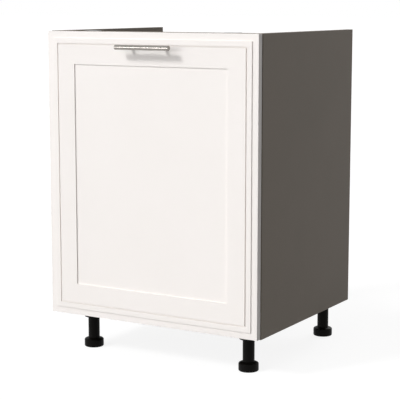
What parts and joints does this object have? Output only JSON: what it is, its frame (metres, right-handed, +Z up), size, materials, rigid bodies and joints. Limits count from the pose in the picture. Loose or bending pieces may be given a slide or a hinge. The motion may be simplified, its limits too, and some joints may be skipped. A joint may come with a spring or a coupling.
{
  "type": "sink base cabinet",
  "caption": "Kitchen sink base on adjustable legs, open above and behind, with a full-height framed front that pulls out a low drawer on ball runners.",
  "frame": {"origin": "on the floor under the middle of the unit's box, handle included", "axes": "+Z up, -Y towards the front and its handle, +X to the unit's right seen from above with the front towards the viewer"},
  "size_m": [0.6, 0.5526, 0.82],
  "materials": {
    "carcass_board": "melamine-faced chipboard, plain dark grey, matt",
    "front_lacquer": "lacquered fibreboard, off-white, satin",
    "handle_steel": "brushed and lacquered",
    "zinc_steel": "bright zinc plated",
    "ball_steel": "polished",
    "cast_zinc": "die-cast zinc, as cast",
    "bolt_steel": "bright zinc plated",
    "beech": "fluted beech, untreated",
    "gallery_steel": "powder coated, light grey",
    "black_plastic": "moulded, satin",
    "clear_rubber": "soft translucent pad"
  },
  "bodies": {
    "carcass": {"bottom_panel": "carcass_board", "cam_bolts": "bolt_steel", "cams": "cast_zinc", "carcass_dowels": "beech", "front_rail": "carcass_board", "leg_body_front_left": "black_plastic", "leg_body_front_right": "black_plastic", "leg_body_rear_left": "black_plastic", "leg_body_rear_right": "black_plastic", "leg_screws": "zinc_steel", "rear_rail_lower": "carcass_board", "rear_rail_upper": "carcass_board", "runner_cabinet_member_left": "zinc_steel", "runner_cabinet_member_right": "zinc_steel", "runner_cabinet_screws": "zinc_steel", "side_panel_left": "carcass_board", "side_panel_right": "carcass_board", "worktop_bracket_left": "zinc_steel", "worktop_bracket_right": "zinc_steel", "worktop_bracket_screws": "zinc_steel"},
    "pull_out": {"front_panel": "front_lacquer", "handle_bar": "handle_steel", "handle_posts": "handle_steel", "handle_screws": "zinc_steel", "front_bumpers": "clear_rubber", "drawer_side_left": "carcass_board", "drawer_side_right": "carcass_board", "drawer_inner_front": "carcass_board", "drawer_back": "carcass_board", "drawer_base": "carcass_board", "drawer_dowels": "beech", "front_fixing_screws": "zinc_steel", "runner_drawer_member_left": "zinc_steel", "runner_drawer_member_right": "zinc_steel", "runner_drawer_screws": "zinc_steel", "gallery_rail_left": "gallery_steel", "gallery_rail_right": "gallery_steel", "gallery_front_socket_left": "gallery_steel", "gallery_front_socket_right": "gallery_steel", "gallery_rear_post_left": "gallery_steel", "gallery_rear_post_right": "gallery_steel", "gallery_screws": "zinc_steel"},
    "runner_middle_left": {"runner_middle_member_left": "zinc_steel"},
    "ball_cage_outer_left": {"ball_cage_outer_left": "zinc_steel", "balls_outer_left": "ball_steel"},
    "ball_cage_inner_left": {"ball_cage_inner_left": "zinc_steel", "balls_inner_left": "ball_steel"},
    "runner_middle_right": {"runner_middle_member_right": "zinc_steel"},
    "ball_cage_outer_right": {"ball_cage_outer_right": "zinc_steel", "balls_outer_right": "ball_steel"},
    "ball_cage_inner_right": {"ball_cage_inner_right": "zinc_steel", "balls_inner_right": "ball_steel"},
    "foot_front_left": {"leg_foot_front_left": "black_plastic"},
    "foot_rear_left": {"leg_foot_rear_left": "black_plastic"},
    "foot_front_right": {"leg_foot_front_right": "black_plastic"},
    "foot_rear_right": {"leg_foot_rear_right": "black_plastic"}
  },
  "joints": [
    {"name": "pull_out_slide", "type": "slide", "parent": "carcass", "child": "pull_out", "axis": [0, -1, 0], "range_m": [0, 0.45]},
    {"name": "runner_middle_left_slide", "type": "slide", "parent": "carcass", "child": "runner_middle_left", "axis": [0, -1, 0], "range_m": [0, 0.225]},
    {"name": "ball_cage_outer_left_slide", "type": "slide", "parent": "carcass", "child": "ball_cage_outer_left", "axis": [0, -1, 0], "range_m": [0, 0.1125]},
    {"name": "ball_cage_inner_left_slide", "type": "slide", "parent": "carcass", "child": "ball_cage_inner_left", "axis": [0, -1, 0], "range_m": [0, 0.3375]},
    {"name": "runner_middle_right_slide", "type": "slide", "parent": "carcass", "child": "runner_middle_right", "axis": [0, -1, 0], "range_m": [0, 0.225]},
    {"name": "ball_cage_outer_right_slide", "type": "slide", "parent": "carcass", "child": "ball_cage_outer_right", "axis": [0, -1, 0], "range_m": [0, 0.1125]},
    {"name": "ball_cage_inner_right_slide", "type": "slide", "parent": "carcass", "child": "ball_cage_inner_right", "axis": [0, -1, 0], "range_m": [0, 0.3375]},
    {"name": "foot_screw_front_left", "type": "slide", "parent": "carcass", "child": "foot_front_left", "axis": [0, 0, -1], "range_m": [0, 0.02]},
    {"name": "foot_screw_rear_left", "type": "slide", "parent": "carcass", "child": "foot_rear_left", "axis": [0, 0, -1], "range_m": [0, 0.02]},
    {"name": "foot_screw_front_right", "type": "slide", "parent": "carcass", "child": "foot_front_right", "axis": [0, 0, -1], "range_m": [0, 0.02]},
    {"name": "foot_screw_rear_right", "type": "slide", "parent": "carcass", "child": "foot_rear_right", "axis": [0, 0, -1], "range_m": [0, 0.02]}
  ],
  "couplings": [
    {"joint": "runner_middle_left_slide", "follows": "pull_out_slide", "ratio": 0.5},
    {"joint": "ball_cage_outer_left_slide", "follows": "pull_out_slide", "ratio": 0.25},
    {"joint": "ball_cage_inner_left_slide", "follows": "pull_out_slide", "ratio": 0.75},
    {"joint": "runner_middle_right_slide", "follows": "pull_out_slide", "ratio": 0.5},
    {"joint": "ball_cage_outer_right_slide", "follows": "pull_out_slide", "ratio": 0.25},
    {"joint": "ball_cage_inner_right_slide", "follows": "pull_out_slide", "ratio": 0.75}
  ]
}
